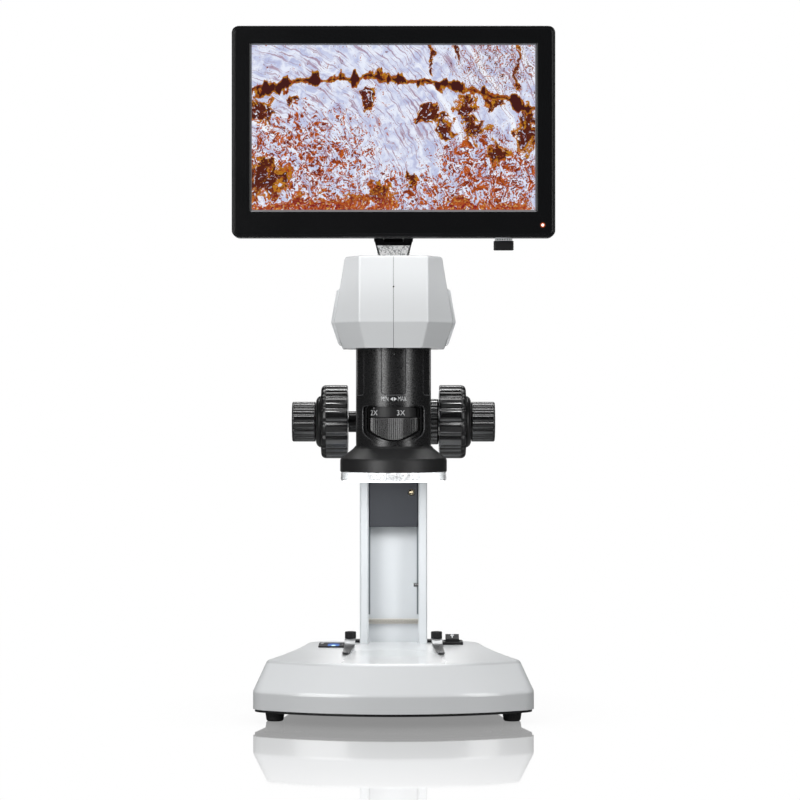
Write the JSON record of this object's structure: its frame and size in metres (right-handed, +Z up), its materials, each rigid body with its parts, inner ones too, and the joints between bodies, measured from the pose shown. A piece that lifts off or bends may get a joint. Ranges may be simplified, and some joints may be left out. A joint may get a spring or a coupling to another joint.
{
  "type": "lcd digital microscope",
  "caption": "Tabletop digital microscope: a display tilts and swivels above a zoom barrel with a ring light, focused by side knobs over a lit stage with spring clips.",
  "frame": {"origin": "centre of the footprint's box on the table, under the feet's soles", "axes": "+X to the user's right, +Y away from the user, +Z up"},
  "size_m": [0.2228, 0.2095, 0.4742],
  "materials": {
    "white_housing": "satin gloss moulding",
    "white_pillar": "white powder coat on an extrusion",
    "black_plastic": "fine satin grain",
    "foot_rubber": "matte",
    "steel": "bright zinc",
    "clip_steel": "polished spring steel",
    "black_screw": "black oxide",
    "brass": "bright brass",
    "bush_metal": "gloss black",
    "rail_plastic": "slippery white acetal",
    "stage_glass": "frosted",
    "cup_plastic": "white reflector",
    "circuit_board": "green solder mask",
    "touch_black": "gloss black with a blue window",
    "knob_black": "satin black, ribbed",
    "carriage_grey": "fine dark grey coat",
    "rack_metal": "machined",
    "barrel_black": "satin black anodised grain",
    "lens": "coated",
    "ring_cover": "clear moulding",
    "ring_lamp": "white board with lamps",
    "neck_black": "gloss black",
    "neck_silver": "blasted",
    "bezel_black": "satin gloss black",
    "lamp_white": "lit",
    "panel_metal": "pressed sheet",
    "screen": "lit display",
    "stick": "black grip on a bright plug"
  },
  "bodies": {
    "stand": {"base_housing": "white_housing", "base_plate": "black_plastic", "rubber_feet": "foot_rubber", "base_screws": "steel", "stage_cup": "cup_plastic", "stage_lamp": "circuit_board", "driver_board": "circuit_board", "touch_panel": "touch_black", "switch_frame": "black_plastic", "dc_inlet": "black_plastic", "clip_caps": "black_plastic", "pillar": "white_pillar", "pillar_foot": "black_plastic", "pillar_bolts": "steel", "guide_rails": "rail_plastic", "stop_rod": "brass", "stop_screw": "black_screw", "shaft_bushes": "bush_metal"},
    "stage_plate": {"stage_glass": "stage_glass"},
    "clip_left": {"clip_leaf_left": "clip_steel"},
    "clip_right": {"clip_leaf_right": "clip_steel"},
    "power_switch": {"switch_rocker": "black_plastic"},
    "coarse_focus": {"pinion_shaft": "steel", "knob_dishes": "knob_black", "coarse_knob_left": "knob_black", "coarse_knob_right": "knob_black"},
    "fine_focus": {"fine_shaft": "steel", "fine_knob_left": "knob_black", "fine_knob_right": "knob_black"},
    "tension": {"tension_ring": "knob_black"},
    "carriage": {"carriage_slide": "carriage_grey", "focus_rack": "rack_metal", "carriage_screw": "brass", "carriage_arm": "carriage_grey", "barrel": "barrel_black", "bell_ring": "barrel_black", "optics_tube": "barrel_black", "objective_lens": "lens", "ring_light_cover": "ring_cover", "ring_light_board": "ring_lamp", "head_shell_left": "white_housing", "head_shell_right": "white_housing", "side_caps": "white_housing", "camera_board": "circuit_board"},
    "zoom": {"zoom_ring": "barrel_black"},
    "zoom_lens": {"zoom_lens_cell": "barrel_black"},
    "neck": {"neck_housing": "neck_black", "neck_plate": "neck_silver", "hinge_pin": "steel"},
    "monitor": {"monitor_bezel": "bezel_black", "monitor_back": "black_plastic", "power_lamp": "lamp_white", "lcd_panel": "panel_metal", "screen_glass": "screen", "hinge_leaf": "steel"},
    "memory_stick": {"usb_stick": "stick"},
    "power_button": {"button_power": "black_plastic"},
    "menu_button": {"button_menu": "black_plastic"},
    "down_button": {"button_down": "black_plastic"},
    "up_button": {"button_up": "black_plastic"}
  },
  "joints": [
    {"name": "focus_slide", "type": "slide", "parent": "stand", "child": "carriage", "axis": [0, 0, 1], "range_m": [-0.04, 0.022]},
    {"name": "coarse_turn", "type": "hinge", "parent": "stand", "child": "coarse_focus", "pos_m": [0, 0.0779, 0.201], "axis": [1, 0, 0], "range_deg": [-235, 426]},
    {"name": "fine_turn", "type": "hinge", "parent": "coarse_focus", "child": "fine_focus", "pos_m": [0, 0.0779, 0.201], "axis": [1, 0, 0], "continuous": true},
    {"name": "tension_turn", "type": "hinge", "parent": "stand", "child": "tension", "pos_m": [0, 0.0779, 0.201], "axis": [1, 0, 0], "range_deg": [-30, 30]},
    {"name": "zoom_turn", "type": "hinge", "parent": "carriage", "child": "zoom", "pos_m": [0, -0.0108, 0.1865], "axis": [0, 0, 1], "range_deg": [-61.7, 36.3]},
    {"name": "zoom_lens_slide", "type": "slide", "parent": "carriage", "child": "zoom_lens", "axis": [0, 0, 1], "range_m": [-0.0064, 0.0038]},
    {"name": "monitor_swivel", "type": "hinge", "parent": "carriage", "child": "neck", "pos_m": [0, 0.0032, 0.3147], "axis": [0, 0, 1], "range_deg": [-90, 90]},
    {"name": "monitor_tilt", "type": "hinge", "parent": "neck", "child": "monitor", "pos_m": [0, 0.0032, 0.333], "axis": [-1, 0, 0], "range_deg": [-15, 90]},
    {"name": "memory_stick_pull", "type": "slide", "parent": "monitor", "child": "memory_stick", "axis": [0, 0, -1], "range_m": [0, 0.015]},
    {"name": "stage_plate_lift", "type": "slide", "parent": "stand", "child": "stage_plate", "axis": [0, 0, 1], "range_m": [0, 0.02]},
    {"name": "clip_left_turn", "type": "hinge", "parent": "stand", "child": "clip_left", "pos_m": [-0.0306, 0.0392, 0.0413], "axis": [0, 0, 1], "range_deg": [-45, 45]},
    {"name": "clip_right_turn", "type": "hinge", "parent": "stand", "child": "clip_right", "pos_m": [0.0306, 0.0392, 0.0413], "axis": [0, 0, 1], "range_deg": [-45, 45]},
    {"name": "switch_rock", "type": "hinge", "parent": "stand", "child": "power_switch", "pos_m": [0.0423, 0.0617, 0.0429], "axis": [1, 0, 0], "range_deg": [-24, 0]},
    {"name": "power_press", "type": "slide", "parent": "monitor", "child": "power_button", "axis": [0, -1, 0], "range_m": [0, 0.0008], "stiffness_N_per_m": 400, "springref_m": -0.0006},
    {"name": "menu_press", "type": "slide", "parent": "monitor", "child": "menu_button", "axis": [0, -1, 0], "range_m": [0, 0.0008], "stiffness_N_per_m": 400, "springref_m": -0.0006},
    {"name": "down_press", "type": "slide", "parent": "monitor", "child": "down_button", "axis": [0, -1, 0], "range_m": [0, 0.0008], "stiffness_N_per_m": 400, "springref_m": -0.0006},
    {"name": "up_press", "type": "slide", "parent": "monitor", "child": "up_button", "axis": [0, -1, 0], "range_m": [0, 0.0008], "stiffness_N_per_m": 400, "springref_m": -0.0006}
  ],
  "couplings": [
    {"joint": "coarse_turn", "follows": "focus_slide", "rad_per_m": -185.19},
    {"joint": "zoom_lens_slide", "follows": "zoom_turn", "m_per_rad": 0.00585}
  ]
}
